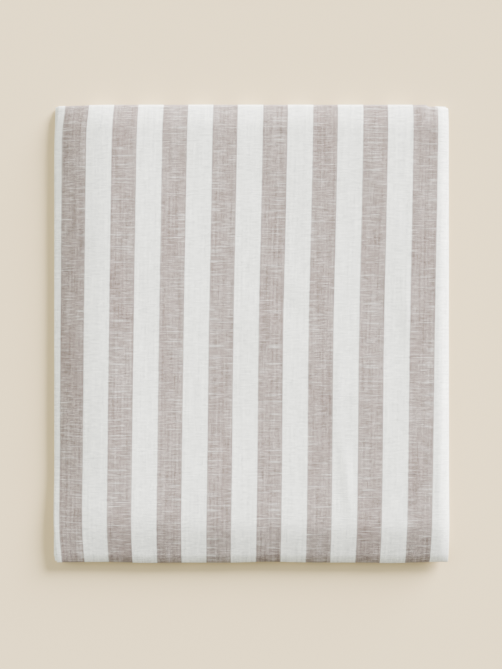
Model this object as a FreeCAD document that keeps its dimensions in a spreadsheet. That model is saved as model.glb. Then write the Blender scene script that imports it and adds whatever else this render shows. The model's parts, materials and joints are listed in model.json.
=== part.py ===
"""Woven baby wrap, folded flat for storage.

One long strip of striped plain-weave cloth.  It is folded in half along its length (crease on
the right, the two selvedges on the left), then crosswise: once in half, then in thirds, and
last in half like a book.  Six double thicknesses lie in each half of that book, and six nested
turns of cloth join the two halves round the front edge, which is the hinge it opens about.

Frame: millimetres, +X right, +Y towards the rear edge, +Z up.  The origin is the middle of the
footprint on the surface that the pack lies on.
"""
import FreeCAD, Part
import math
import os
import sys
import Sketcher

# ---------------------------------------------------------------- driving dimensions (mm)
SIZES = {
    "pack_width": 332.0,        # left selvedges to right crease
    "pack_length": 385.0,       # front edge to rear edge
    "cloth": 0.42,              # one thickness of the cloth
    "ply_gap": 0.25,            # air between the two plies of a lengthwise-folded panel
    "panel_gap": 0.25,          # air between neighbouring panels in one half
    "halves_gap": 0.60,         # air between the two halves; the care label lies in it
    "tail_setback": 3.0,        # how far the free tails stop short of the end folds' centre line
    "tail_step": 2.5,           # the second tail is this much shorter than the first
    "hem_width": 12.0,          # turned end hem, along the wrap
    "hem_ply": 0.52,            # one pressed thickness of the turned end hem
    "hem_inset": 1.0,           # the hem stops this far inside the crease
    "thread": 0.10,             # flattened sewing thread on the cloth
    "thread_width": 0.45,       # sewing thread, across the seam
    "thread_margin": 2.0,       # seam line to the hem's inner edge
    "label_width": 30.0,        # care label, across the wrap
    "label_length": 45.0,       # care label, along the wrap
    "label_thick": 0.16,
    "label_left": 40.0,         # selvedge to the label's near edge
    "label_seam": 3.0,          # label's sewn edge to its line of stitches
    "marker_width": 9.0,        # middle marker ribbon, across the wrap
    "marker_length": 14.0,      # middle marker ribbon, along the wrap
    "marker_thick": 0.12,
    "marker_inset": 3.0,        # marker to the selvedge, and to the panel's end
}
PANELS_PER_HALF = 6             # double panels in each half; the folding fixes this number

# ---------------------------------------------------------------- sizes that follow from them
PANEL = "(2 * sizes.cloth + sizes.ply_gap)"
PITCH = f"({PANEL} + sizes.panel_gap)"
HALF_HEIGHT = f"({PANELS_PER_HALF} * {PITCH} - sizes.panel_gap)"
HINGE_Z = f"({HALF_HEIGHT} + sizes.halves_gap / 2)"
HINGE_Y = f"(-sizes.pack_length / 2 + {HINGE_Z})"
WIDE_TURN = f"((4 * {PANEL} + 3 * sizes.panel_gap) / 2)"
REAR_END = f"(sizes.pack_length / 2 - {WIDE_TURN})"
TAIL_END = f"({REAR_END} - sizes.tail_setback)"

doc = FreeCAD.newDocument("baby_wrap")
sheet = doc.addObject("Spreadsheet::Sheet", "sizes")
for row, (alias, value) in enumerate(SIZES.items(), start=1):
    sheet.set(f"A{row}", alias)
    sheet.set(f"B{row}", str(value))
    sheet.setAlias(f"B{row}", alias)
doc.recompute()

SUBPARTS = []


def at(x="0", y="0", z="0"):
    """Three expressions as a dictionary of placement axes."""
    return {"x": x, "y": y, "z": z}


def place(obj, position):
    """Tie an object's placement to expressions."""
    for axis, expression in position.items():
        obj.setExpression(f"Placement.Base.{axis}", expression)


def new_body(label, position):
    """An empty body, which writes its own file, placed by expressions."""
    body = doc.addObject("PartDesign::Body", label)
    body.Label = label
    place(body, position)
    SUBPARTS.append(body)
    return body


def end_section(body, bottom, thick, ply, inset="0"):
    """Section of cloth doubled over its right crease, drawn in the body's XZ plane.

    Two straight plies run from the left selvedges to a half-round crease on the right.
    `bottom` is the height of the lower face, `thick` the height over both plies, `ply` one
    thickness, and `inset` how far the crease stops inside the pack's right edge.
    """
    plane = next(f for f in body.Origin.OriginFeatures if f.Role == "XZ_Plane")
    sketch = body.newObject("Sketcher::SketchObject", f"{body.Name}_section")
    sketch.AttachmentSupport = [(plane, "")]
    sketch.MapMode = "FlatFace"
    # Rough starting places only: the rules and dimensions below move every line.
    left, right = -100.0, 100.0
    low, high, wall = 10.0, 30.0, 4.0
    middle = (low + high) / 2
    centre = FreeCAD.Vector(right, middle, 0)
    normal = FreeCAD.Vector(0, 0, 1)
    quarter = math.pi / 2

    def line(x0, y0, x1, y1):
        return sketch.addGeometry(Part.LineSegment(FreeCAD.Vector(x0, y0, 0), FreeCAD.Vector(x1, y1, 0)))

    def half_turn(radius):
        circle = Part.Circle(centre, normal, radius)
        return sketch.addGeometry(Part.ArcOfCircle(circle, -quarter, quarter))

    outer_top = line(left, high, right, high)
    outer_turn = half_turn(middle - low)
    outer_low = line(right, low, left, low)
    lower_edge = line(left, low, left, low + wall)
    inner_low = line(left, low + wall, right, low + wall)
    inner_turn = half_turn(middle - low - wall)
    inner_top = line(right, high - wall, left, high - wall)
    upper_edge = line(left, high - wall, left, high)
    start, end, mid = 1, 2, 3

    def rule(*args):
        return sketch.addConstraint(Sketcher.Constraint(*args))

    rule("Tangent", outer_top, end, outer_turn, end)
    rule("Tangent", outer_low, start, outer_turn, start)
    rule("Tangent", inner_low, end, inner_turn, start)
    rule("Tangent", inner_top, start, inner_turn, end)
    rule("Coincident", outer_low, end, lower_edge, start)
    rule("Coincident", lower_edge, end, inner_low, start)
    rule("Coincident", inner_top, end, upper_edge, start)
    rule("Coincident", upper_edge, end, outer_top, start)
    rule("Coincident", inner_turn, mid, outer_turn, mid)
    for level in (outer_top, outer_low, inner_low, inner_top):
        rule("Horizontal", level)
    rule("Vertical", lower_edge)
    rule("Vertical", upper_edge)
    rule("Vertical", lower_edge, start, upper_edge, start)
    dimensions = {
        "selvedge": (("DistanceX", lower_edge, start, -1, 1, -left), "sizes.pack_width / 2"),
        "crease": (("DistanceX", -1, 1, outer_turn, mid, right),
                   f"sizes.pack_width / 2 - ({inset}) - ({thick}) / 2"),
        "bottom": (("DistanceY", -1, 1, lower_edge, start, low), bottom),
        "thick": (("DistanceY", lower_edge, start, upper_edge, end, high - low), thick),
        "ply": (("DistanceY", lower_edge, start, lower_edge, end, wall), ply),
    }
    for name, (constraint, expression) in dimensions.items():
        index = rule(*constraint)
        sketch.renameConstraint(index, name)
        sketch.setExpression(f"Constraints.{name}", expression)
    return sketch


def pad_forward(body, sketch, length):
    """Extrude a section towards -Y, the front."""
    pad = body.newObject("PartDesign::Pad", f"{body.Name}_pad")
    pad.Profile = sketch
    pad.setExpression("Length", length)
    sketch.Visibility = False
    return pad


def panel(label, bottom, front, rear):
    """A flat double panel from `front` to `rear`, its lower face at height `bottom`."""
    body = new_body(label, at(y=rear, z=bottom))
    sketch = end_section(body, "0", PANEL, "sizes.cloth")
    pad_forward(body, sketch, f"{rear} - {front}")


def turn(label, centre_y, centre_z, inner_radius, towards_front):
    """Cloth that turns through half a circle about a line along X, from one panel to another."""
    body = new_body(label, at(y=centre_y, z=centre_z))
    sketch = end_section(body, inner_radius, PANEL, "sizes.cloth")
    revolution = body.newObject("PartDesign::Revolution", f"{body.Name}_turn")
    revolution.Profile = sketch
    revolution.ReferenceAxis = (sketch, ["H_Axis"])
    revolution.Angle = 180
    revolution.Reversed = not towards_front
    sketch.Visibility = False


def block(label, length, width, height, position):
    """A plain flat piece whose sizes and place are expressions."""
    box = doc.addObject("Part::Box", label)
    box.Label = label
    box.setExpression("Length", length)
    box.setExpression("Width", width)
    box.setExpression("Height", height)
    place(box, position)
    SUBPARTS.append(box)


def lower_z(layer):
    """Lower face of a layer of the lower half; layer 1 lies on the table."""
    return f"({layer - 1} * {PITCH})"


def upper_z(layer):
    """Lower face of a layer of the upper half; layer 1 is on top."""
    top = f"(2 * {HALF_HEIGHT} + sizes.halves_gap)"
    return f"({top} - {layer - 1} * {PITCH} - {PANEL})"


def tail_end(layer):
    """Rear end of a free tail with its hem; the innermost tail, layer 6, is the longer one."""
    return f"({TAIL_END} - {PANELS_PER_HALF - layer} * sizes.tail_step)"


# ---------------------------------------------------------------- the panels
TAIL_LAYERS = (6, 5)
for layer in range(1, PANELS_PER_HALF + 1):
    panel(f"lower_panel_{layer}", lower_z(layer), HINGE_Y, REAR_END)
    rear = f"({tail_end(layer)} - sizes.hem_width)" if layer in TAIL_LAYERS else REAR_END
    panel(f"upper_panel_{layer}", upper_z(layer), HINGE_Y, rear)

# ---------------------------------------------------------------- the turns at the front hinge
for layer in range(1, PANELS_PER_HALF + 1):
    radius = f"(sizes.halves_gap / 2 + {PANELS_PER_HALF - layer} * {PITCH})"
    turn(f"half_fold_{layer}", HINGE_Y, HINGE_Z, radius, True)

# ---------------------------------------------------------------- the turns at the rear edge
NARROW = "(sizes.panel_gap / 2)"
WIDE = f"({NARROW} + {PITCH})"


def between(level, lower_layer, upper_layer):
    """Height midway between two layers of one half, given the function of their heights."""
    return f"(({level(lower_layer)} + {level(upper_layer)} + {PANEL}) / 2)"


turn("upper_end_fold_outer", REAR_END, between(upper_z, 4, 1), WIDE, False)
turn("upper_end_fold_inner", REAR_END, between(upper_z, 3, 2), NARROW, False)
turn("lower_end_fold_outer", REAR_END, between(lower_z, 3, 6), WIDE, False)
turn("lower_end_fold_inner", REAR_END, between(lower_z, 4, 5), NARROW, False)
turn("middle_fold", REAR_END, between(lower_z, 1, 2), NARROW, False)

# ---------------------------------------------------------------- the hemmed tails
for number, layer in enumerate(TAIL_LAYERS, start=1):
    rear = tail_end(layer)
    hem = new_body(f"end_hem_{number}", at(y=rear, z=upper_z(layer)))
    section = end_section(hem, "0", PANEL, "sizes.hem_ply", "sizes.hem_inset")
    pad_forward(hem, section, "sizes.hem_width")
    seam = f"({rear} - sizes.hem_width + sizes.thread_margin)"
    stitches = new_body(f"end_hem_thread_{number}", at(y=seam, z=f"{upper_z(layer)} - sizes.thread"))
    section = end_section(stitches, "0", f"({PANEL} + 2 * sizes.thread)", "sizes.thread",
                          "sizes.hem_inset - sizes.thread")
    pad_forward(stitches, section, "sizes.thread_width")

# ---------------------------------------------------------------- the blank care label
label_x = "(-sizes.pack_width / 2 + sizes.label_left)"
label_rear = f"({tail_end(6)} - sizes.hem_width - sizes.thread_width)"
label_z = f"({upper_z(6)} - sizes.label_thick)"
block("care_label", "sizes.label_width", "sizes.label_length", "sizes.label_thick",
      at(label_x, f"{label_rear} - sizes.label_length", label_z))
block("care_label_thread", "sizes.label_width - 2 * sizes.label_seam", "sizes.thread_width",
      "sizes.thread",
      at(f"{label_x} + sizes.label_seam", f"{label_rear} - sizes.label_seam",
         f"{label_z} - sizes.thread"))

# ---------------------------------------------------------------- the ribbons that mark the middle
for layer in (1, 2):
    lift = "sizes.cloth + (sizes.ply_gap - sizes.marker_thick) / 2"
    block(f"middle_marker_{layer}", "sizes.marker_width", "sizes.marker_length", "sizes.marker_thick",
          at("-sizes.pack_width / 2 + sizes.marker_inset",
             f"{REAR_END} - sizes.marker_inset - sizes.marker_length",
             f"{lower_z(layer)} + {lift}"))

doc.recompute()

# ---------------------------------------------------------------- checks, then the files
failed = [obj.Name for obj in doc.Objects if {"Invalid", "Error"} & set(obj.State)]
if failed:
    sys.exit(f"objects that did not recompute: {failed}")
for obj in SUBPARTS:
    if obj.Shape.isNull() or not obj.Shape.isValid() or len(obj.Shape.Solids) != 1:
        sys.exit(f"{obj.Label} is not one valid solid")

os.makedirs("parts", exist_ok=True)
whole = FreeCAD.BoundBox()
for obj in SUBPARTS:
    obj.Shape.exportStep(os.path.join("parts", f"{obj.Label}.step"))
    whole.add(obj.Shape.optimalBoundingBox())
print(f"{len(SUBPARTS)} pieces, box {whole.XLength:.2f} x {whole.YLength:.2f} x {whole.ZLength:.2f} mm")
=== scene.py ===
"""Woven baby wrap, folded flat: the cloth, its sewing and the studio round it, laid out as an add-on.

Lengths are metres in the frame's own axes: +X from the selvedges to the lengthwise crease,
+Y from the hinge fold to the rear edge, +Z up from the table.
"""
import json

import bpy
import numpy as np
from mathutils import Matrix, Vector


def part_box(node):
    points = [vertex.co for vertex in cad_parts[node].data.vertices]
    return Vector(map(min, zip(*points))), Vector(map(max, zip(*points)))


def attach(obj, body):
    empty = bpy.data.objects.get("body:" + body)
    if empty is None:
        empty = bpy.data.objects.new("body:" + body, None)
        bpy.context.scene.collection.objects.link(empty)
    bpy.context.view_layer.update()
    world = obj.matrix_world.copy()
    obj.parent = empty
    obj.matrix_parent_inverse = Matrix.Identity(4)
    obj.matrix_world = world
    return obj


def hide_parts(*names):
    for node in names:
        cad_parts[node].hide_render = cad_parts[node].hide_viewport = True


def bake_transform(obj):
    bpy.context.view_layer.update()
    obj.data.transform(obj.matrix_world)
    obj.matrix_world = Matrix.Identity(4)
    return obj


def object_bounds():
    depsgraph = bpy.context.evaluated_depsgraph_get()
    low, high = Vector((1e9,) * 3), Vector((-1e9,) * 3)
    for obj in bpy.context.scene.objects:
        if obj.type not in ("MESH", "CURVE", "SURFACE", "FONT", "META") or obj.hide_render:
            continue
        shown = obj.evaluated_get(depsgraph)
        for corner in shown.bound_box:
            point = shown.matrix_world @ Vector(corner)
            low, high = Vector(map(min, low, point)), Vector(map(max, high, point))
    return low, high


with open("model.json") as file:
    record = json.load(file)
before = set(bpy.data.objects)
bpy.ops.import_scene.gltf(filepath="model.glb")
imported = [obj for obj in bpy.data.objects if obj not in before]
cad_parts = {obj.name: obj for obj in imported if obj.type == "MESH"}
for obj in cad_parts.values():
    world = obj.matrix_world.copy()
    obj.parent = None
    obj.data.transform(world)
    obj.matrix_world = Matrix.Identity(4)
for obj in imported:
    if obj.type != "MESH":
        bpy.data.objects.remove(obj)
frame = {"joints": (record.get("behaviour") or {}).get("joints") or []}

CAD_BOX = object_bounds()

bl_info = {
    "name": "Folded woven wrap",
    "version": (1, 0, 0),
    "blender": (4, 5, 0),
    "location": "View3D > Sidebar > Wrap",
    "description": "Builds a striped woven wrap folded flat, its hems, labels and studio",
    "category": "Object",
}

MM = 0.001
LAYERS = 6
# A very narrow first row keeps the shading even where one stretch of cloth meets the next.
JOIN = 0.04 * MM

# ------------------------------------------------------------------ places read from the frame


def span(name):
    """Lowest and highest corner of a CAD node, as numpy rows."""
    return np.array(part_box(name), dtype=float)


HINGE = np.array(frame["joints"][0]["pos_m"], dtype=float)
TOP_PANEL = span("upper_panel_1")
END_FOLD = span("upper_end_fold_outer")
PANEL_THICK = float(TOP_PANEL[1, 2] - TOP_PANEL[0, 2])
LEFT, RIGHT = float(TOP_PANEL[0, 0]), float(TOP_PANEL[1, 0])
WIDTH = RIGHT - LEFT
REAR_END = float(END_FOLD[0, 1])
FRONT_EDGE, REAR_EDGE = float(CAD_BOX[0][1]), float(CAD_BOX[1][1])


def mid_height(half, layer):
    """Height of the middle of one double panel."""
    low, high = span(f"{half}_panel_{layer}")[:, 2]
    return 0.5 * (low + high)


# ------------------------------------------------------------------ what a user may change


class WrapCloth(bpy.types.PropertyGroup):
    """Sizes of the cloth and its stripes."""

    cloth: bpy.props.FloatProperty(
        name="Cloth thickness", description="One thickness of the cloth",
        default=0.42 * MM, unit="LENGTH", precision=5)
    hem_cloth: bpy.props.FloatProperty(
        name="Hem thickness", description="One pressed thickness of the turned end hem",
        default=0.52 * MM, unit="LENGTH", precision=5)
    stripe: bpy.props.FloatProperty(
        name="Stripe width", description="Width of one taupe or one white stripe",
        default=20.93 * MM, unit="LENGTH", precision=5)
    crease_white: bpy.props.FloatProperty(
        name="White at the crease", description="From the lengthwise crease to the first taupe stripe",
        default=12.4 * MM, unit="LENGTH", precision=5)
    lean: bpy.props.FloatProperty(
        name="Stripe lean", description="How far the stripes drift to the right per metre towards the rear",
        default=0.0158)
    stitch: bpy.props.FloatProperty(
        name="Stitch length", description="Length of one stitch of the hems",
        default=3.0 * MM, unit="LENGTH", precision=5)


class WrapColours(bpy.types.PropertyGroup):
    """Colours as sRGB hex values."""

    white_yarn: bpy.props.StringProperty(
        name="White yarn", description="Bleached yarn of the white stripes and of the weft",
        default="#E9EAE1")
    taupe_yarn: bpy.props.StringProperty(
        name="Taupe yarn", description="Dyed warp yarn of the taupe stripes", default="#74625B")
    thread: bpy.props.StringProperty(
        name="Sewing thread", description="Thread of the hems", default="#DAD6CF")
    label: bpy.props.StringProperty(
        name="Label tape", description="Woven tape of the blank care label", default="#E6E3DC")
    marker: bpy.props.StringProperty(
        name="Marker ribbon", description="Ribbon that marks the middle of the wrap", default="#5E544E")
    paper: bpy.props.StringProperty(
        name="Backdrop", description="Paper that the pack lies on", default="#E2CB9E")


class WrapStudio(bpy.types.PropertyGroup):
    """Camera and light."""

    camera_height: bpy.props.FloatProperty(
        name="Camera height", description="Camera above the table", default=0.85, unit="LENGTH")
    frame_height: bpy.props.FloatProperty(
        name="Height in view", description="What the picture's long side spans at the pack's mid height",
        default=0.5623, unit="LENGTH")
    key_power: bpy.props.FloatProperty(
        name="Key light", description="Strength of the large soft light", default=31.2)
    key_width: bpy.props.FloatProperty(
        name="Key width", description="How wide the light looks from the table, which softens shadows",
        default=0.62, subtype="ANGLE")
    key_tilt: bpy.props.FloatProperty(
        name="Key tilt", description="How far the light is from straight above", default=1.35,
        subtype="ANGLE")
    key_heading: bpy.props.FloatProperty(
        name="Key heading", description="Where the light comes from, turned from +X towards +Y",
        default=0.82, subtype="ANGLE")
    bounce_power: bpy.props.FloatProperty(
        name="Reflector", description="Strength of the light sent back from the left", default=3.3)
    sky: bpy.props.FloatProperty(
        name="Fill", description="Strength of the even light from all round", default=0.50)


# ------------------------------------------------------------------ the shape of the folded strip

# Which way round each double panel lies: +1 where the strip's first selvedge is on its upper ply.
TURNED = {
    "upper": (1, -1, 1, -1, 1, -1),
    "lower": (-1, 1, -1, 1, -1, 1),
}
# How a real pack is flatter at its edges: reach in metres, share of the height lost at the edge,
# and the power of the curve, higher for a rounder edge.
EDGE_SQUASH = {
    "left": (56.0 * MM, 0.64, 2.2),
    "right": (10.0 * MM, 0.40, 1.9),
    "rear": (22.0 * MM, 0.24, 2.0),
    "front": (36.0 * MM, 0.71, 1.6),
}
# How far the front fold hangs below the hinge's height.
FRONT_SAG = 1.7 * MM
# Soft creases of the top: x, y, direction in degrees, half length, half width (mm), height (share)
CREASES = (
    (80.0, -122.0, 98.0, 36.0, 4.0, 0.075),
    (72.0, -45.0, 84.0, 24.0, 4.0, 0.050),
    (-127.0, -38.0, 75.0, 30.0, 4.0, -0.050),
    (130.0, 20.0, 95.0, 24.0, 4.5, 0.050),
    (-60.0, 90.0, 20.0, 50.0, 9.0, 0.022),
    (20.0, 30.0, 140.0, 60.0, 12.0, -0.024),
    (-95.0, -130.0, 35.0, 45.0, 8.0, -0.030),
    (105.0, 130.0, 110.0, 45.0, 9.0, 0.024),
)


def smooth(t):
    """The cubic ease from 0 to 1, held outside that span."""
    t = np.clip(t, 0.0, 1.0)
    return t * t * (3.0 - 2.0 * t)


def edge_loss(distance, reach, loss, power):
    """Share of the height lost near an edge: a power curve that is level where it starts."""
    return loss * (1.0 - np.clip(distance / reach, 0.0, 1.0)) ** power


def settle(x, y, z):
    """Turns the ideal flat stack into a settled one, and returns the new x, y and z.

    Every height is scaled towards a level by a share that depends only on the place in plan, so
    layers keep their order and can't cross.  That level is the table, and rises to the hinge
    level at the front edge, where the fold is squashed evenly from both sides.
    """
    share = np.ones_like(x)
    # The front slope reaches further back towards the selvedges, where no crease holds it up.
    front = (y - FRONT_EDGE) / (1.0 + 0.55 * np.exp((LEFT - x) / (80.0 * MM)))
    for name, distance in (("left", x - LEFT), ("right", RIGHT - x),
                           ("rear", REAR_EDGE - y), ("front", front)):
        share = share * (1.0 - edge_loss(distance, *EDGE_SQUASH[name]))
    inner = smooth((y - FRONT_EDGE) / (60.0 * MM))
    ripple = (0.0260 * np.sin(33.0 * x + 9.0 * y + 0.6) * np.sin(27.0 * y - 6.0 * x + 1.9)
              + 0.0130 * np.sin(71.0 * x - 34.0 * y + 2.2) * np.sin(57.0 * y + 21.0 * x)
              + 0.0040 * np.sin(132.0 * y + 2.0 * np.sin(31.0 * x) + 0.5))
    for cx, cy, angle, length, width, height in CREASES:
        a = np.radians(angle)
        dx, dy = x - cx * MM, y - cy * MM
        along = (dx * np.cos(a) + dy * np.sin(a)) / (length * MM)
        across = (dy * np.cos(a) - dx * np.sin(a)) / (width * MM)
        ripple = ripple + height * np.exp(-along ** 2 - across ** 2)
    share = share * (1.0 + ripple * inner)
    level = HINGE[2] * (1.0 - smooth((y - FRONT_EDGE) / (90.0 * MM)))
    height = z - level
    z = level + height * share - FRONT_SAG * (1.0 - smooth((y - FRONT_EDGE) / (32.0 * MM)))
    # The crease corner of the upper half stops a little short at the rear.
    corner = smooth((x - 0.146) / (4.0 * MM)) * smooth((height + level - HINGE[2]) / (1.0 * MM))
    y = y - 2.0 * MM * corner * smooth((y - REAR_EDGE + 16.0 * MM) / (14.0 * MM))
    # The front fold is very slightly wavy, always inwards, so that the open halves don't meet.
    wave = 0.55 * MM + 0.35 * MM * np.sin(38.0 * x + 0.8) + 0.2 * MM * np.sin(91.0 * x)
    y = y + wave * (1.0 - smooth((y - FRONT_EDGE) / (14.0 * MM)))
    return x, y, z


def edge_play(v, phase, depth):
    """A slow, uneven wander of an edge along the strip, from 0 to `depth`, as a sum of sines."""
    wander = (np.sin(4.1 * v + phase) + 0.6 * np.sin(11.3 * v + 2.1 * phase)
              + 0.35 * np.sin(29.0 * v + 3.7 * phase))
    return depth * (0.5 + 0.5 * wander / 1.95)


def corner_pull(v):
    """How far the selvedge corners of the top layer are drawn inwards, round both of its folds."""
    rear = WALK["upper_wide"][0] + PANEL_RUN + 3.0 * MM
    front = WALK["fold_1"][0] + 0.5 * WALK["fold_1"][1]
    return (2.6 * MM * np.exp(-((v - rear) / (17.0 * MM)) ** 2)
            + 2.4 * MM * np.exp(-((v - front) / (23.0 * MM)) ** 2))


def fine_grid(stops, counts):
    """Rising values through `stops`, with `counts[i]` even steps between two of them."""
    parts = [np.linspace(a, b, n, endpoint=False) for a, b, n in zip(stops, stops[1:], counts)]
    return np.concatenate(parts + [[stops[-1]]])


def columns(count):
    """Places across the doubled cloth, 0 at one selvedge and 1 at the other, closer at its edges.

    The middle stretch is the half-round crease, whose share is its quarter turns over the width.
    """
    turn = 0.25 * np.pi * (PANEL_THICK - bpy.context.scene.wrap_cloth.cloth)
    half = turn / (2.0 * (WIDTH - 0.5 * PANEL_THICK) + 2.0 * turn)
    edge = 0.06
    one = fine_grid((0.0, edge * 0.5, 0.5 - half - edge * 0.5, 0.5 - half, 0.5),
                    (count // 6, count, count // 6, 8))
    return np.concatenate([one, 1.0 - one[-2::-1]])


def strip_shape(rows, cross, cloth):
    """The two faces of the doubled cloth over a grid of rows along it and places across it.

    Across the strip the cloth follows one ply, a half-round crease and the other ply back.
    Along it, each row stands at the plan position `y` and, in a fold, is turned by `turn` about a
    line at `centre`: the row's height above that line, h, becomes a step h*sin(turn) in y and a
    height h*cos(turn).  Returns outer points, inner points and the cloth's own coordinates.
    """
    y, turn = rows["y"][:, None], rows["turn"][:, None]
    v = rows["v"][:, None]
    radius = 0.5 * PANEL_THICK
    cloth = cloth[:, None] if np.ndim(cloth) else cloth
    neat = 1.0 - 0.8 * np.exp(-((v - rows["neat"]) / 0.30) ** 4)
    first = edge_play(v, 0.7, 2.4 * MM) * neat
    second = edge_play(v, 2.9, 2.8 * MM) * (0.35 + 0.65 * neat)
    reach = edge_play(v, 5.1, 1.6 * MM) * neat
    bend = 0.25 * np.pi * (PANEL_THICK - np.max(cloth)) / (WIDTH - radius)
    t = cross[None, :]
    side = np.where(t < 0.5, 1.0, -1.0)
    from_crease = np.abs(t - 0.5) / 0.5
    on_turn = np.clip(from_crease / bend * (1.0 + bend), 0.0, 1.0)
    angle = 0.5 * np.pi * side * on_turn
    flat = np.clip((from_crease - bend / (1.0 + bend)) * (1.0 + bend), 0.0, None)
    end = LEFT + np.where(t < 0.5, first, second)
    centre_x = RIGHT - radius - reach
    x0 = centre_x + (end - centre_x) * flat
    x0 = x0 + corner_pull(v) * np.exp((LEFT - x0) / (60.0 * MM))
    faces = []
    for depth in (np.full_like(y, radius), radius - cloth + 0.0 * y):
        x = x0 + depth * np.cos(angle)
        h = rows["height"] + rows["sign"] * depth * np.sin(angle)
        yy = y + rows["out"] * h * np.sin(turn)
        zz = rows["centre"] + h * np.cos(turn)
        faces.append(np.stack(settle(x, yy, zz), axis=-1))
    from_fold = side * from_crease * (WIDTH - radius + 0.25 * np.pi * radius)
    y_flat = np.clip(y + rows["out"] * rows["height"] * np.sin(turn), -0.2, 0.2)
    drift = bpy.context.scene.wrap_cloth.lean * y_flat * (1.0 - 0.7 * np.exp((LEFT - x0) / 0.035))
    bow = 1.1 * MM * np.exp(-(y_flat / 0.10) ** 2 - ((x0 - 0.05) / 0.09) ** 2)
    u = from_fold + side * (drift - bow)
    cloth_uv = np.stack([u + 0.0 * y, v + 0.0 * t], axis=-1)
    return faces[0], faces[1], cloth_uv


def closed_sheet(name, outer, inner, cloth_uv, flip):
    """A thin closed mesh from its two faces: two grids of quads, joined round all four sides."""
    rows, cols = outer.shape[:2]
    index = np.arange(rows * cols).reshape(rows, cols)
    under = index + rows * cols

    def quads(grid):
        return np.stack([grid[:-1, :-1], grid[:-1, 1:], grid[1:, 1:], grid[1:, :-1]], -1).reshape(-1, 4)

    def wall(a, b):
        return np.stack([a[:-1], b[:-1], b[1:], a[1:]], -1)

    faces = np.concatenate([
        quads(index), quads(under)[:, ::-1],
        wall(index[0], under[0]), wall(index[-1], under[-1])[:, ::-1],
        wall(index[:, 0], under[:, 0])[:, ::-1], wall(index[:, -1], under[:, -1]),
    ])
    if flip:
        faces = faces[:, ::-1]
    points = np.concatenate([outer.reshape(-1, 3), inner.reshape(-1, 3)])
    uv = np.tile(cloth_uv.reshape(-1, 2), (2, 1))
    # The narrow walls are flat, so that they leave the shading of both faces alone.
    return mesh_object(name, points, faces, uv, smooth_faces=2 * (rows - 1) * (cols - 1))


def mesh_object(name, points, faces, uv=None, smooth_faces=None):
    """A mesh object at the origin from arrays of points and quads, the first ones shaded smooth."""
    mesh = bpy.data.meshes.new(name)
    count = len(faces)
    sides = faces.shape[1]
    mesh.vertices.add(len(points))
    mesh.vertices.foreach_set("co", np.ascontiguousarray(points, np.float32).ravel())
    mesh.loops.add(count * sides)
    mesh.loops.foreach_set("vertex_index", np.ascontiguousarray(faces, np.int32).ravel())
    mesh.polygons.add(count)
    mesh.polygons.foreach_set("loop_start", np.arange(0, count * sides, sides, dtype=np.int32))
    mesh.polygons.foreach_set("use_smooth", np.arange(count) < (smooth_faces or count))
    if uv is not None:
        layer = mesh.uv_layers.new(name="cloth")
        layer.data.foreach_set("uv", np.ascontiguousarray(uv[faces.ravel()], np.float32).ravel())
    mesh.update()
    mesh.validate()
    obj = bpy.data.objects.new(name, mesh)
    bpy.context.scene.collection.objects.link(obj)
    return obj


# ------------------------------------------------------------------ walking along the strip

PANEL_RUN = REAR_END - float(HINGE[1])


def wrap_walk():
    """Where each stretch of the strip starts, measured along the cloth from its first end.

    The strip runs from the free tail in layer 6 of the upper half to the tail in layer 5.
    """
    hinge_turn = [np.pi * abs(mid_height("upper", k) - HINGE[2]) for k in range(1, LAYERS + 1)]
    wide = np.pi * 0.5 * (mid_height("upper", 1) - mid_height("upper", 4))
    narrow = np.pi * 0.5 * (mid_height("upper", 2) - mid_height("upper", 3))
    tail = {k: float(span(f"end_hem_{7 - k}")[1, 1]) - float(HINGE[1]) for k in (5, 6)}
    stretches = (
        ("tail_6", tail[6]), ("fold_6", hinge_turn[5]), ("lower_wide", 2 * PANEL_RUN + wide),
        ("fold_3", hinge_turn[2]), ("upper_narrow", 2 * PANEL_RUN + narrow),
        ("fold_2", hinge_turn[1]), ("lower_middle", 2 * PANEL_RUN + narrow),
        ("fold_1", hinge_turn[0]), ("upper_wide", 2 * PANEL_RUN + wide),
        ("fold_4", hinge_turn[3]), ("lower_narrow", 2 * PANEL_RUN + narrow),
        ("fold_5", hinge_turn[4]), ("tail_5", tail[5]),
    )
    starts, reached = {}, 0.0
    for name, length in stretches:
        starts[name] = (reached, length)
        reached += length
    return starts


WALK = wrap_walk()
# The folds of the top sheet are the neatest part of the strip.
NEAT_V = WALK["upper_wide"][0] + 0.5 * PANEL_RUN


def pair_rows(half, high, low, start, high_first, fine):
    """Rows of two panels of one half and the fold that joins them at the rear.

    The strip reaches panel `high` first or last, as `high_first` says.
    """
    centre = 0.5 * (mid_height(half, high) + mid_height(half, low))
    rise = mid_height(half, high) - centre
    steps = (1, 16, 60, 16) if fine else (1, 8, 26, 7)
    run = fine_grid((HINGE[1], HINGE[1] + JOIN, HINGE[1] + 27 * MM, REAR_END - 24 * MM, REAR_END), steps)
    turn = np.pi * smooth(np.linspace(0.0, 1.0, 21))
    y = np.concatenate([run, np.full(19, REAR_END), run[::-1]])
    angle = np.concatenate([np.zeros(len(run)), turn[1:-1], np.full(len(run), np.pi)])
    v = np.concatenate([run - HINGE[1], PANEL_RUN + rise * turn[1:-1],
                        PANEL_RUN + rise * np.pi + (REAR_END - run[::-1])])
    if not high_first:
        v = v[-1] - v
    return {"y": y, "turn": angle, "v": start + v, "height": rise, "centre": centre,
            "sign": TURNED[half][high - 1], "out": 1.0, "neat": NEAT_V}


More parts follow.
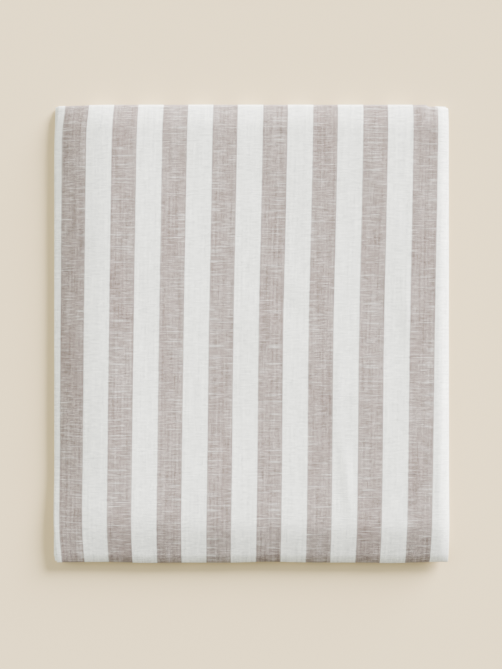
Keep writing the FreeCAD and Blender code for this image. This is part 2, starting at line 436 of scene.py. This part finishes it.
def fold_rows(layer):
    """Rows of one turn of cloth round the front hinge, from the upper half to the lower."""
    rise = mid_height("upper", layer) - HINGE[2]
    start, length = WALK[f"fold_{layer}"]
    turn = np.pi * smooth(np.linspace(0.0, 1.0, 41))
    v = rise * turn
    if layer in (1, 3, 5):
        v = length - v
    return {"y": np.full(41, HINGE[1]), "turn": turn, "v": start + v, "height": rise,
            "centre": HINGE[2], "sign": TURNED["upper"][layer - 1], "out": -1.0, "neat": NEAT_V}


def tail_rows(layer):
    """Rows of a free tail of the upper half, closer together at its hem."""
    end = float(span(f"end_hem_{7 - layer}")[1, 1])
    hem = end - float(span(f"end_hem_{7 - layer}")[0, 1])
    run = fine_grid((HINGE[1], HINGE[1] + JOIN, HINGE[1] + 27 * MM, end - hem - 1 * MM, end - hem, end),
                    (1, 8, 36, 4, 8))
    start, length = WALK[f"tail_{layer}"]
    v = run - HINGE[1]
    if layer == 6:
        v = length - v
    rows = {"y": run, "turn": np.zeros(len(run)), "v": start + v, "height": 0.0,
            "centre": mid_height("upper", layer), "sign": TURNED["upper"][layer - 1], "out": 1.0,
            "neat": NEAT_V}
    return rows, smooth((run - (end - hem - 1 * MM)) / (1 * MM))


# ------------------------------------------------------------------ materials


def linear(hex_colour):
    """An sRGB hex colour as linear red, green, blue and alpha."""
    srgb = np.array([int(hex_colour[i:i + 2], 16) for i in (1, 3, 5)]) / 255.0
    low, high = srgb / 12.92, ((srgb + 0.055) / 1.055) ** 2.4
    return (*np.where(srgb <= 0.04045, low, high).tolist(), 1.0)


def node(tree, kind, links=None, **settings):
    """Adds a node: `links` maps input names or numbers to sockets or values, the rest are settings."""
    made = tree.nodes.new(kind)
    for key, value in settings.items():
        setattr(made, key, value)
    for key, value in (links or {}).items():
        if isinstance(value, bpy.types.NodeSocket):
            tree.links.new(value, made.inputs[key])
        else:
            made.inputs[key].default_value = value
    return made


def maths(tree, operation, a, b=0.0, c=0.0):
    """The result of one step of arithmetic."""
    return node(tree, "ShaderNodeMath", {0: a, 1: b, 2: c}, operation=operation).outputs[0]


def blank_material(name):
    """A material with only a Principled shader, and that shader."""
    material = bpy.data.materials.new(name)
    material.use_nodes = True
    tree = material.node_tree
    tree.nodes.clear()
    shader = node(tree, "ShaderNodeBsdfPrincipled")
    node(tree, "ShaderNodeOutputMaterial", {"Surface": shader.outputs[0]})
    return material, tree, shader


def ramp(tree, value, low, high, start=0.0, stop=1.0):
    """A value mapped smoothly from low..high to start..stop."""
    return node(tree, "ShaderNodeMapRange", {0: value, 1: low, 2: high, 3: start, 4: stop},
                interpolation_type="SMOOTHSTEP").outputs[0]


def stretched_noise(tree, u, v, per_u, per_v, detail=2.0):
    """Noise over two coordinates of the cloth, each with its own number of features per unit."""
    place = node(tree, "ShaderNodeCombineXYZ",
                 {0: maths(tree, "MULTIPLY", u, per_u), 1: maths(tree, "MULTIPLY", v, per_v)})
    return node(tree, "ShaderNodeTexNoise",
                {"Vector": place.outputs[0], "Scale": 1.0, "Detail": detail, "Roughness": 0.55},
                noise_dimensions="2D").outputs[0]


def weighted(tree, start, *parts):
    """A start value plus each noise's distance from its middle value times its weight."""
    total = start
    for noise, weight in parts:
        centred = maths(tree, "SUBTRACT", noise, 0.5)
        total = maths(tree, "MULTIPLY_ADD", centred, weight, total)
    return total


def woven_linen(colours, sizes):
    """Linen and cotton plain weave, yarn-dyed: matt, with white weft slubs showing in the taupe.

    The real threads are about 0.5 mm apart, too fine to show, so they are drawn 0.9 mm apart.
    """
    material, tree, shader = blank_material("yarn_dyed_linen_plain_weave")
    place = node(tree, "ShaderNodeUVMap", uv_map="cloth")
    split = node(tree, "ShaderNodeSeparateXYZ", {0: place.outputs[0]})
    u, v = split.outputs[0], split.outputs[1]
    pitch = 0.9 * MM

    # Slubs are thicker places of the weft, and streaks are warp ends a little lighter or darker.
    slubs = stretched_noise(tree, u, v, 80.0, 1150.0, 1.0)
    long_slubs = stretched_noise(tree, u, v, 38.0, 820.0, 0.0)
    streaks = stretched_noise(tree, u, v, 520.0, 14.0, 1.5)
    # Each thread has its own number, so that its shade changes along it but not across it.
    pick = maths(tree, "FLOOR", maths(tree, "DIVIDE", v, pitch))
    end = maths(tree, "FLOOR", maths(tree, "DIVIDE", u, pitch))
    picks = stretched_noise(tree, u, pick, 150.0, 7.3, 2.0)
    ends = stretched_noise(tree, end, v, 5.7, 80.0, 2.0)
    grain = stretched_noise(tree, u, v, 950.0, 1150.0, 0.0)
    mottle = maths(tree, "MULTIPLY_ADD", picks, 0.40, maths(tree, "MULTIPLY", ends, 0.25))
    mottle = maths(tree, "MULTIPLY_ADD", grain, 0.35, mottle)
    cloud = stretched_noise(tree, u, v, 26.0, 15.0, 2.0)

    # Stripes: distance from the lengthwise crease, with an edge that the weft makes slightly ragged.
    ragged = maths(tree, "MULTIPLY", maths(tree, "SUBTRACT", slubs, 0.5), 0.5 * MM)
    from_crease = maths(tree, "ADD", maths(tree, "ABSOLUTE", u), ragged)
    cycle = maths(tree, "DIVIDE", maths(tree, "SUBTRACT", from_crease, sizes.crease_white),
                  2.0 * sizes.stripe)
    phase = maths(tree, "FRACT", cycle)
    blur = 0.012
    taupe = maths(tree, "MULTIPLY", ramp(tree, phase, -blur, blur),
                  ramp(tree, phase, 0.5 + blur, 0.5 - blur))

    # Plain weave: over and under in turn, as the product of two waves half a thread apart.
    across = maths(tree, "SINE", maths(tree, "MULTIPLY", u, np.pi / pitch))
    along = maths(tree, "SINE", maths(tree, "MULTIPLY", v, np.pi / pitch))
    weave = maths(tree, "MULTIPLY", across, along)

    # How much white weft shows at a place of a taupe stripe.
    weft = weighted(tree, 0.11, (mottle, 0.25), (streaks, 0.12), (cloud, 0.12))
    weft = maths(tree, "MULTIPLY_ADD", ramp(tree, slubs, 0.58, 0.80), 0.14, weft)
    weft = maths(tree, "MULTIPLY_ADD", ramp(tree, long_slubs, 0.66, 0.82), 0.20, weft)
    white, dyed = linear(colours.white_yarn), linear(colours.taupe_yarn)
    stripe = node(tree, "ShaderNodeMix", {0: weft, 6: dyed, 7: white}, data_type="RGBA",
                  clamp_factor=True)
    colour = node(tree, "ShaderNodeMix", {0: taupe, 6: white, 7: stripe.outputs[2]},
                  data_type="RGBA")
    # The shade of each thread, which shows more in the dyed yarn than in the white.
    shade = weighted(tree, 0.0, (mottle, 1.15), (slubs, 0.40), (streaks, 0.32))
    shade = maths(tree, "MULTIPLY_ADD", weave, 0.08, shade)
    strength = maths(tree, "MULTIPLY_ADD", taupe, 0.45, 1.0)
    shaded = node(tree, "ShaderNodeVectorMath",
                  {0: colour.outputs[2], 3: maths(tree, "MULTIPLY_ADD", shade, strength, 1.0)},
                  operation="SCALE")
    relief = maths(tree, "ADD", maths(tree, "MULTIPLY", weave, 0.35),
                   maths(tree, "ADD", slubs, maths(tree, "MULTIPLY", streaks, 0.6)))
    bump = node(tree, "ShaderNodeBump", {"Height": relief, "Strength": 0.30, "Distance": 0.25 * MM})
    tree.links.new(shaded.outputs[0], shader.inputs["Base Color"])
    tree.links.new(bump.outputs[0], shader.inputs["Normal"])
    shader.inputs["Roughness"].default_value = 0.92
    shader.inputs["Specular IOR Level"].default_value = 0.25
    shader.inputs["Sheen Weight"].default_value = 0.08
    shader.inputs["Sheen Roughness"].default_value = 0.6
    return material


def spun_thread(colours):
    """Spun cotton sewing thread: matt, with the fine slant of its twist."""
    material, tree, shader = blank_material("spun_cotton_thread")
    place = node(tree, "ShaderNodeTexCoord")
    # The twist of the real thread repeats every 0.5 mm and is drawn at 0.8 mm.
    wave = node(tree, "ShaderNodeTexWave",
                {"Vector": place.outputs["Object"], "Scale": 1.0 / (0.8 * MM) / 20.0,
                 "Distortion": 1.5, "Detail": 1.0}, bands_direction="DIAGONAL")
    base = np.array(linear(colours.thread)[:3])
    colour = node(tree, "ShaderNodeMix",
                  {0: wave.outputs[1], 6: (*(base * 0.86).tolist(), 1.0), 7: (*base.tolist(), 1.0)},
                  data_type="RGBA")
    bump = node(tree, "ShaderNodeBump",
                {"Height": wave.outputs[1], "Strength": 0.4, "Distance": 0.05 * MM})
    tree.links.new(colour.outputs[2], shader.inputs["Base Color"])
    tree.links.new(bump.outputs[0], shader.inputs["Normal"])
    shader.inputs["Roughness"].default_value = 0.7
    shader.inputs["Sheen Weight"].default_value = 0.1
    return material


def woven_tape(name, hex_colour, gloss):
    """Polyester tape, finely ribbed across its length, a little smoother than the cloth."""
    material, tree, shader = blank_material(name)
    place = node(tree, "ShaderNodeUVMap", uv_map="cloth")
    split = node(tree, "ShaderNodeSeparateXYZ", {0: place.outputs[0]})
    u, v = split.outputs[0], split.outputs[1]
    # Ribs are 0.3 mm apart on the real tape and are drawn 0.6 mm apart.
    ribs = maths(tree, "SINE", maths(tree, "MULTIPLY", v, 2.0 * np.pi / (0.6 * MM)))
    grain = stretched_noise(tree, u, v, 1500.0, 500.0, 2.0)
    height = maths(tree, "ADD", maths(tree, "MULTIPLY", ribs, 0.3), grain)
    base = np.array(linear(hex_colour)[:3])
    colour = node(tree, "ShaderNodeMix",
                  {0: grain, 6: (*(base * 0.88).tolist(), 1.0), 7: (*base.tolist(), 1.0)},
                  data_type="RGBA")
    bump = node(tree, "ShaderNodeBump", {"Height": height, "Strength": 0.3, "Distance": 0.08 * MM})
    tree.links.new(colour.outputs[2], shader.inputs["Base Color"])
    tree.links.new(bump.outputs[0], shader.inputs["Normal"])
    shader.inputs["Roughness"].default_value = gloss
    return material


def backdrop_paper(colours):
    """Uncoated card: matt and even, with a very faint tooth."""
    material, tree, shader = blank_material("uncoated_backdrop_paper")
    place = node(tree, "ShaderNodeTexCoord")
    tooth = node(tree, "ShaderNodeTexNoise",
                 {"Vector": place.outputs["Object"], "Scale": 900.0, "Detail": 3.0})
    base = np.array(linear(colours.paper)[:3])
    colour = node(tree, "ShaderNodeMix",
                  {0: tooth.outputs[0], 6: (*(base * 0.985).tolist(), 1.0),
                   7: (*(base * 1.015).tolist(), 1.0)}, data_type="RGBA")
    tree.links.new(colour.outputs[2], shader.inputs["Base Color"])
    shader.inputs["Roughness"].default_value = 0.95
    shader.inputs["Specular IOR Level"].default_value = 0.1
    return material


MATERIALS = {}


def shared_material(name):
    """The material of that name, made once from the scene's settings."""
    if name not in MATERIALS:
        colours, sizes = bpy.context.scene.wrap_colours, bpy.context.scene.wrap_cloth
        MATERIALS[name] = {
            "cloth": lambda: woven_linen(colours, sizes),
            "thread": lambda: spun_thread(colours),
            "label": lambda: woven_tape("woven_polyester_label_tape", colours.label, 0.55),
            "marker": lambda: woven_tape("woven_grosgrain_ribbon", colours.marker, 0.6),
            "paper": lambda: backdrop_paper(colours),
        }[name]()
    return MATERIALS[name]


def dress(obj, material):
    """Gives a piece its material."""
    obj.data.materials.append(shared_material(material))
    return obj


# ------------------------------------------------------------------ the cloth pieces


def cloth_piece(name, rows, cross, cloth, body, replaced):
    """One stretch of the doubled cloth, riding on one body, in place of its CAD nodes."""
    outer, inner, cloth_uv = strip_shape(rows, cross, cloth)
    flip = (rows["sign"] < 0) != (rows["out"] < 0)
    obj = closed_sheet(name, outer, inner, cloth_uv, flip)
    dress(obj, "cloth")
    if body:
        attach(obj, body)
    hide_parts(*replaced)
    return obj


def double_panel(name, high, low, fold, high_first=False, fine=False):
    """Two panels of one half and the rear fold between them, as one unbroken sheet."""
    half = name.split("_")[0]
    rows = pair_rows(half, high, low, WALK[name][0], high_first, fine)
    nodes = (f"{half}_panel_{high}", f"{half}_panel_{low}", fold)
    return cloth_piece(f"cloth_{name}", rows, columns(80 if fine else 44),
                       bpy.context.scene.wrap_cloth.cloth, f"{half}_half", nodes)


class WRAP_OT_upper_cloth(bpy.types.Operator):
    """Cloth of the upper half: two folded sheets and the two hemmed tails"""

    bl_idname = "wrap.upper_cloth"
    bl_label = "Upper half"

    def execute(self, context):
        sizes = context.scene.wrap_cloth
        wide = double_panel("upper_wide", 1, 4, "upper_end_fold_outer", high_first=True, fine=True)
        narrow = double_panel("upper_narrow", 2, 3, "upper_end_fold_inner")
        for layer in (5, 6):
            rows, hemmed = tail_rows(layer)
            cloth = sizes.cloth + (sizes.hem_cloth - sizes.cloth) * hemmed
            cloth_piece(f"cloth_tail_{layer}", rows, columns(60), cloth, "upper_half",
                        (f"upper_panel_{layer}", f"end_hem_{7 - layer}"))
        return {"FINISHED"}


class WRAP_OT_lower_cloth(bpy.types.Operator):
    """Cloth of the lower half: three folded sheets"""

    bl_idname = "wrap.lower_cloth"
    bl_label = "Lower half"

    def execute(self, context):
        wide = double_panel("lower_wide", 6, 3, "lower_end_fold_outer", high_first=True)
        narrow = double_panel("lower_narrow", 5, 4, "lower_end_fold_inner")
        double_panel("lower_middle", 2, 1, "middle_fold")
        return {"FINISHED"}


class WRAP_OT_hinge_folds(bpy.types.Operator):
    """The six nested turns of cloth at the front edge"""

    bl_idname = "wrap.hinge_folds"
    bl_label = "Front folds"

    def execute(self, context):
        sizes = context.scene.wrap_cloth
        for layer in range(1, LAYERS + 1):
            rows = fold_rows(layer)
            cross = columns(80 if layer == 1 else 44)
            fold = cloth_piece(f"cloth_fold_{layer}", rows, cross, sizes.cloth, None,
                               (f"half_fold_{layer}",))
            points = np.empty(3 * len(fold.data.vertices))
            fold.data.vertices.foreach_get("co", points)
            grid = points[2::3].reshape(2, len(rows["y"]), len(cross))
            low, high = HINGE.copy(), HINGE.copy()
            low[2], high[2] = grid[:, -1].max(), grid[:, 0].min()
            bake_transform(fold)
        return {"FINISHED"}


# ------------------------------------------------------------------ sewing, label and markers


def stitch_row(name, centres, half_length, normals, body, replaced):
    """A row of stitches: each is a low rounded bar, made by sweeping a half circle along X.

    Its height over the cloth is the thread's radius times the root of one minus the squared
    share of the half length, so both ends dip into the cloth.
    """
    along = np.linspace(-1.0, 1.0, 7)
    around = np.linspace(0.0, 2.0 * np.pi, 7)[:-1]
    radius = 0.20 * MM
    taper = np.sqrt(np.clip(1.0 - along ** 2, 0.02, 1.0))
    a, c = np.meshgrid(along, around, indexing="ij")
    bar = np.stack([a * half_length, radius * np.cos(c) * taper[:, None],
                    0.7 * radius * np.sin(c) * taper[:, None] - 0.3 * radius], -1)
    rows, cols = bar.shape[:2]
    index = np.arange(rows * cols).reshape(rows, cols)
    wrapped = np.concatenate([index, index[:, :1]], 1)
    sides = np.stack([wrapped[:-1, :-1], wrapped[1:, :-1], wrapped[1:, 1:], wrapped[:-1, 1:]], -1)
    sides = sides.reshape(-1, 4)
    caps = np.array([[index[0, 0], index[0, 1], index[0, 2], index[0, 3]],
                     [index[0, 0], index[0, 3], index[0, 4], index[0, 5]],
                     [index[-1, 3], index[-1, 2], index[-1, 1], index[-1, 0]],
                     [index[-1, 5], index[-1, 4], index[-1, 3], index[-1, 0]]])
    one = np.concatenate([sides, caps])
    points = bar.reshape(1, -1, 3) * np.stack(
        [np.ones_like(normals), np.ones_like(normals), normals], -1)[:, None, :] + centres[:, None, :]
    faces = one[None] + (np.arange(len(centres)) * rows * cols)[:, None, None]
    faces = np.where(normals[:, None, None] < 0, faces[:, :, ::-1], faces)
    obj = mesh_object(name, points.reshape(-1, 3), faces.reshape(-1, 4))
    dress(obj, "thread")
    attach(obj, body)
    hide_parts(replaced)
    return obj


class WRAP_OT_hem_stitches(bpy.types.Operator):
    """Rows of stitches along both end hems, on both outer faces of the doubled cloth"""

    bl_idname = "wrap.hem_stitches"
    bl_label = "Hem stitches"

    def execute(self, context):
        stitch = context.scene.wrap_cloth.stitch
        for number in (1, 2):
            low, high = span(f"end_hem_thread_{number}")
            thread = 0.10 * MM
            count = int((WIDTH - 8.0 * MM) / (1.25 * stitch))
            x = LEFT + 4.0 * MM + (np.arange(count) + 0.5) * 1.25 * stitch
            y = np.full(count, 0.5 * (low[1] + high[1]))
            y = y + 0.08 * MM * np.sin(37.0 * np.arange(count))
            rows = []
            for side, level in ((1.0, high[2] - thread), (-1.0, low[2] + thread)):
                px, py, pz = settle(x, y, np.full(count, level))
                rows.append((np.stack([px, py, pz], -1), np.full(count, side)))
            centres = np.concatenate([r[0] for r in rows])
            normals = np.concatenate([r[1] for r in rows])
            stitch_row(f"hem_stitches_{number}", centres, 0.5 * stitch, normals, "upper_half",
                       f"end_hem_thread_{number}")
        return {"FINISHED"}


def tape(name, node_name, columns_rows, bow, body, material):
    """A thin tape over its CAD node's plan: two faces, with a soft bow of `bow` along its length."""
    low, high = span(node_name)
    u = np.linspace(0.0, 1.0, columns_rows[0])
    v = np.linspace(0.0, 1.0, columns_rows[1])
    uu, vv = np.meshgrid(u, v)
    x = low[0] + (high[0] - low[0]) * uu
    y = low[1] + (high[1] - low[1]) * vv
    swell = bow * np.sin(np.pi * vv) * np.sin(np.pi * uu)
    top = np.stack(settle(x, y, np.full_like(x, high[2])), -1)
    under = np.stack(settle(x, y, low[2] + swell), -1)
    uv = np.stack([(uu - 0.5) * (high[0] - low[0]), (vv - 0.5) * (high[1] - low[1])], -1)
    obj = closed_sheet(name, top, under, uv, False)
    dress(obj, material)
    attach(obj, body)
    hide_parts(node_name)
    return obj


class WRAP_OT_label(bpy.types.Operator):
    """The blank care label on the inner tail, and the stitches that hold it"""

    bl_idname = "wrap.label"
    bl_label = "Care label"

    def execute(self, context):
        label = tape("care_label_tape", "care_label", (24, 36), 0.04 * MM, "upper_half", "label")
        low, high = span("care_label_thread")
        stitch = context.scene.wrap_cloth.stitch
        count = int((high[0] - low[0]) / (1.2 * stitch))
        x = low[0] + (np.arange(count) + 0.5) * (high[0] - low[0]) / count
        px, py, pz = settle(x, np.full(count, 0.5 * (low[1] + high[1])), np.full(count, high[2]))
        stitch_row("care_label_stitches", np.stack([px, py, pz], -1), 0.5 * stitch, -np.ones(count),
                   "upper_half", "care_label_thread")
        return {"FINISHED"}


class WRAP_OT_markers(bpy.types.Operator):
    """The two ribbons that mark the middle of the wrap, between its plies"""

    bl_idname = "wrap.markers"
    bl_label = "Middle markers"

    def execute(self, context):
        markers = [tape(f"marker_ribbon_{number}", f"middle_marker_{number}", (10, 14), 0.0,
                        "lower_half", "marker") for number in (1, 2)]
        return {"FINISHED"}


# ------------------------------------------------------------------ the stage


def distant_light(name, power, width, tilt, heading, colour):
    """A light so far away that the floor is evenly lit; `width` is how wide it looks."""
    light = bpy.data.lights.new(name, "SUN")
    light.energy = power
    light.angle = width
    light.color = colour
    lamp = bpy.data.objects.new(name, light)
    lamp.location = (0.0, 0.0, 2.0)
    lamp.rotation_euler = (0.0, tilt, heading)
    bpy.context.scene.collection.objects.link(lamp)


class WRAP_OT_stage(bpy.types.Operator):
    """Pale paper floor, a large soft light, a reflector, even fill and the camera straight above"""

    bl_idname = "wrap.stage"
    bl_label = "Stage"

    def execute(self, context):
        scene, studio = context.scene, context.scene.wrap_studio
        side = np.linspace(-30.0, 30.0, 9)
        x, y = np.meshgrid(side, side)
        points = np.stack([x, y, np.full_like(x, -0.05 * MM)], -1).reshape(-1, 3)
        index = np.arange(81).reshape(9, 9)
        faces = np.stack([index[:-1, :-1], index[:-1, 1:], index[1:, 1:], index[1:, :-1]], -1)
        floor = mesh_object("paper_floor", points, faces.reshape(-1, 4))
        floor.data.materials.append(shared_material("paper"))

        distant_light("key_light", studio.key_power, studio.key_width, studio.key_tilt,
                      studio.key_heading, (1.0, 0.98, 1.01))
        distant_light("left_reflector", studio.bounce_power, 0.9, 0.95, 2.75, (0.98, 1.0, 0.95))

        world = bpy.data.worlds.new("even_fill")
        world.use_nodes = True
        sky = world.node_tree.nodes["Background"]
        sky.inputs[0].default_value = (0.97, 1.02, 0.92, 1.0)
        sky.inputs[1].default_value = studio.sky
        scene.world = world

        camera = bpy.data.cameras.new("camera_above")
        camera.sensor_width, camera.sensor_fit = 36.0, "AUTO"
        distance = studio.camera_height - HINGE[2]
        camera.lens = 36.0 * distance / studio.frame_height
        camera.clip_start, camera.clip_end = 0.01, 20.0
        eye = bpy.data.objects.new("camera_above", camera)
        eye.location = (0.0, 0.0, studio.camera_height)
        scene.collection.objects.link(eye)
        scene.camera = eye
        return {"FINISHED"}


class WRAP_PT_panel(bpy.types.Panel):
    """Sidebar panel with the wrap's settings and its steps"""

    bl_idname = "WRAP_PT_panel"
    bl_label = "Folded wrap"
    bl_space_type = "VIEW_3D"
    bl_region_type = "UI"
    bl_category = "Wrap"

    def draw(self, context):
        scene = context.scene
        for group in (scene.wrap_cloth, scene.wrap_colours, scene.wrap_studio):
            box = self.layout.box()
            for name in group.__annotations__:
                box.prop(group, name)
        for operator in OPERATORS:
            self.layout.operator(operator.bl_idname)


OPERATORS = (WRAP_OT_upper_cloth, WRAP_OT_lower_cloth, WRAP_OT_hinge_folds, WRAP_OT_hem_stitches,
             WRAP_OT_label, WRAP_OT_markers, WRAP_OT_stage)
GROUPS = {"wrap_cloth": WrapCloth, "wrap_colours": WrapColours, "wrap_studio": WrapStudio}


def register():
    """Registers the settings, the steps and the panel."""
    for cls in (*GROUPS.values(), *OPERATORS, WRAP_PT_panel):
        bpy.utils.register_class(cls)
    for name, group in GROUPS.items():
        setattr(bpy.types.Scene, name, bpy.props.PointerProperty(type=group))


def unregister():
    """Takes everything that register added away again."""
    for name in GROUPS:
        delattr(bpy.types.Scene, name)
    for cls in reversed((*GROUPS.values(), *OPERATORS, WRAP_PT_panel)):
        bpy.utils.unregister_class(cls)


def main():
    """Builds the pack and its stage."""
    register()
    bpy.ops.wrap.upper_cloth()
    bpy.ops.wrap.lower_cloth()
    bpy.ops.wrap.hinge_folds()
    bpy.ops.wrap.hem_stitches()
    bpy.ops.wrap.label()
    bpy.ops.wrap.markers()
    bpy.ops.wrap.stage()


if __name__ == "__main__":
    main()
